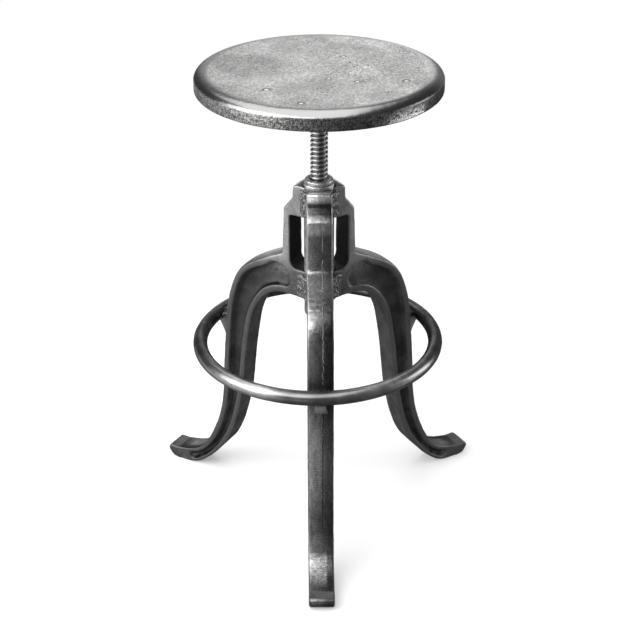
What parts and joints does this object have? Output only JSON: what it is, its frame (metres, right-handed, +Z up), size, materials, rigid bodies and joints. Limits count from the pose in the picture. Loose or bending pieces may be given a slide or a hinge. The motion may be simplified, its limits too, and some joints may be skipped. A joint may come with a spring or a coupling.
{
  "type": "bar stool",
  "caption": "Industrial bar stool: round cast seat on a coarse lifting screw, windowed welded hub, fluted cast tripod legs and a round bar footrest ring",
  "frame": {"origin": "on the floor, on the axis of the seat's screw", "axes": "+Z up along the screw; the front leg points to -Y, the others to 30 and 150 degrees from +X"},
  "size_m": [0.5196, 0.4841, 0.741],
  "materials": {
    "seat_casting": "ground and waxed casting, blotchy, with pits",
    "dark_casting": "dark waxed casting with worn bright edges",
    "sleeve_steel": "rough bare steel",
    "spindle_steel": "turned thread, oiled",
    "ring_steel": "dark polished bar with pits",
    "fastener_steel": "plain steel",
    "weld_bead": "rough dark weld"
  },
  "bodies": {
    "base": {"hub_sleeve": "sleeve_steel", "spindle_nut": "sleeve_steel", "footrest_ring": "ring_steel", "leg_front": "dark_casting", "leg_right": "dark_casting", "leg_left": "dark_casting", "ring_lug_front": "dark_casting", "ring_lug_right": "dark_casting", "ring_lug_left": "dark_casting", "ring_weld_front": "weld_bead", "ring_weld_right": "weld_bead", "ring_weld_left": "weld_bead", "upper_weld_front_right": "weld_bead", "upper_weld_back": "weld_bead", "upper_weld_front_left": "weld_bead", "lower_weld_front_right": "weld_bead", "lower_weld_back": "weld_bead", "lower_weld_front_left": "weld_bead"},
    "lift": {"guide_washer": "fastener_steel"},
    "seat": {"spindle": "spindle_steel", "seat_plate": "seat_casting", "seat_flange": "dark_casting", "seat_screws": "fastener_steel", "flange_weld": "weld_bead", "end_bolt": "fastener_steel"}
  },
  "joints": [
    {"name": "seat_lift", "type": "slide", "parent": "base", "child": "lift", "axis": [0, 0, 1], "range_m": [-0.1121, 0.0491]},
    {"name": "seat_turn", "type": "hinge", "parent": "lift", "child": "seat", "pos_m": [0, 0, 0.575], "axis": [0, 0, 1], "range_deg": [-5760, 2520]}
  ],
  "couplings": [
    {"joint": "seat_lift", "follows": "seat_turn", "m_per_rad": 0.0011141}
  ]
}
